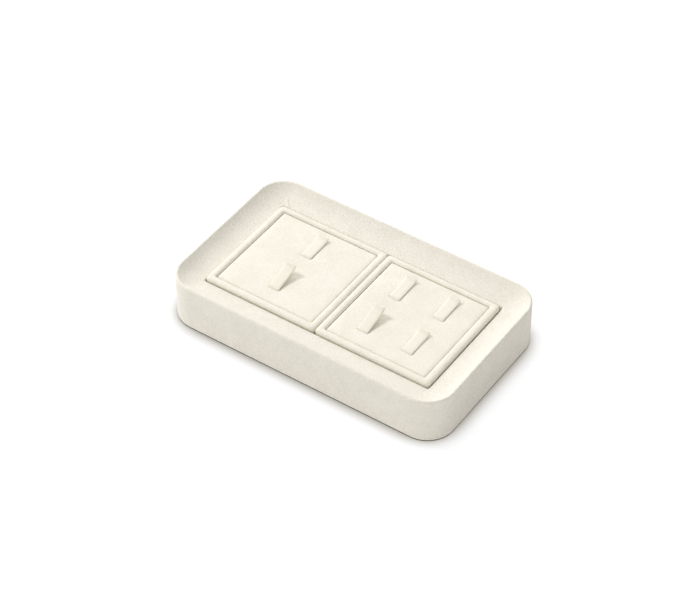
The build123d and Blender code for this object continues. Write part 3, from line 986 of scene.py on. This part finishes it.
# Floor and lamps in metres; paintedShadeReach and the camera in millimetres
stageLook = {
    "floorRadius": 3.0, "floorSides": 96, "floorColour": 0.90, "floorGlow": 0.87, "seenShare": 0.25,
    # The next lines hold the reach, depth, fade and samples of the floor's painted shade at the tray's foot, and its
    # warm tint
    "paintedShadeReach": 12.5, "paintedShadeDepth": 2.3, "paintedShadeFade": 2.0, "paintedShadeSamples": 16,
    "warmShade": (1.0, 0.94, 0.83), "warmShadeRange": (0.25, 0.5), "worldStrength": 0.56,
    "key": {"power": 23.5, "size": 0.70, "distance": 2.2, "azimuth": 273, "elevation": 43},
    "back": {"power": 14.5, "size": 1.4, "distance": 1.8, "azimuth": 221, "elevation": 28},
    "fill": {"power": 4.3, "size": 1.2, "distance": 1.5, "azimuth": 18, "elevation": 22},
    "azimuth": 34.41, "elevation": 43.96, "distance": 1210.2, "aim": (2.81, -7.07, 22.3), "lens": 120.46,
}


def seenDirectly(tree):
    # 1 for what the camera, a mirror or glass shows, and 0 for the light that reaches the object
    path = tree.nodes.new("ShaderNodeLightPath")
    reflected = mathNode(tree, "MAXIMUM", path.outputs["Is Glossy Ray"], path.outputs["Is Transmission Ray"])
    return mathNode(tree, "MAXIMUM", path.outputs["Is Camera Ray"], reflected)


def floorMaterial(look):
    # Pale and matt. Seen, it glows to white and takes only a share of the light, with painted warm shade at the tray's
    # foot
    material, tree, shader = principled("studioFloor")
    seen = seenDirectly(tree)
    # Painted shade: the ambient occlusion node finds where the tray is near, and the floor seen directly is darkened
    # there
    corner = tree.nodes.new("ShaderNodeAmbientOcclusion")
    corner.samples = look["paintedShadeSamples"]
    corner.inputs["Distance"].default_value = look["paintedShadeReach"] * mm
    hidden = mathNode(tree, "SUBTRACT", 1.0, corner.outputs["AO"])
    paintedShade = mathNode(tree, "MULTIPLY", mathNode(tree, "POWER", hidden, look["paintedShadeFade"]), look["paintedShadeDepth"])
    clear = mathNode(tree, "MAXIMUM", mathNode(tree, "SUBTRACT", 1.0, mathNode(tree, "MULTIPLY", paintedShade, seen)), 0.0)
    share = mathNode(tree, "MULTIPLY_ADD", seen, look["seenShare"] - 1.0, 1.0)
    colour = mathNode(tree, "MULTIPLY", mathNode(tree, "MULTIPLY", clear, share), look["floorColour"])
    tree.links.new(colour, shader.inputs["Base Color"])
    shader.inputs["Roughness"].default_value = 1.0
    shader.inputs["Specular IOR Level"].default_value = 0.0
    # The painted shade's warm tint, strongest where the floor is most hidden
    warmShadeColour = colourRamp(tree, hidden, (1.0, 1.0, 1.0), look["warmShade"], *look["warmShadeRange"])
    tree.links.new(warmShadeColour, shader.inputs["Emission Color"])
    # The glow is cut by the same painted shade
    glow = mathNode(tree, "MULTIPLY", mathNode(tree, "MULTIPLY", seen, look["floorGlow"]), clear)
    tree.links.new(glow, shader.inputs["Emission Strength"])
    return material


bpy.ops.mesh.primitive_circle_add(
    vertices=stageLook["floorSides"], radius=stageLook["floorRadius"], fill_type="NGON")
floor = bpy.context.object
floor.name = "studio_floor"
floor.data.materials.append(floorMaterial(stageLook))

world = bpy.data.worlds.new("studio")
bpy.context.scene.world = world
world.use_nodes = True
background = world.node_tree.nodes["Background"]
background.inputs["Color"].default_value = (1, 1, 1, 1)
# The object is lit by worldStrength, and what is seen directly is pure white
lit, skyTree = stageLook["worldStrength"], world.node_tree
strength = mathNode(skyTree, "MULTIPLY_ADD", seenDirectly(skyTree), 1.0 - lit, lit)
skyTree.links.new(strength, background.inputs["Strength"])


def direction(azimuth, elevation):
    # Towards a place seen from the object; azimuth 0 is the front and it grows towards +X
    a, e = math.radians(azimuth), math.radians(elevation)
    return Vector((math.sin(a) * math.cos(e), -math.cos(a) * math.cos(e), math.sin(e)))


def lookAlong(thing, towards):
    thing.rotation_euler = towards.to_track_quat("-Z", "Y").to_euler()


def softLamp(name, look):
    data = bpy.data.lights.new(name, "AREA")
    data.shape, data.size, data.energy = "DISK", look["size"], look["power"]
    lamp = link(bpy.data.objects.new(name, data))
    way = direction(look["azimuth"], look["elevation"])
    lamp.location = way * look["distance"]
    lookAlong(lamp, -way)


for lampName in ("key", "back", "fill"):
    softLamp(lampName, stageLook[lampName])

cameraData = bpy.data.cameras.new("camera")
cameraData.sensor_width, cameraData.lens = 36.0, stageLook["lens"]
camera = link(bpy.data.objects.new("camera", cameraData))
back = direction(stageLook["azimuth"], stageLook["elevation"])
camera.location = Vector(stageLook["aim"]) * mm + back * stageLook["distance"] * mm
lookAlong(camera, -back)
bpy.context.scene.camera = camera
bpy.context.scene.view_settings.view_transform = "Standard"
print("stage set")
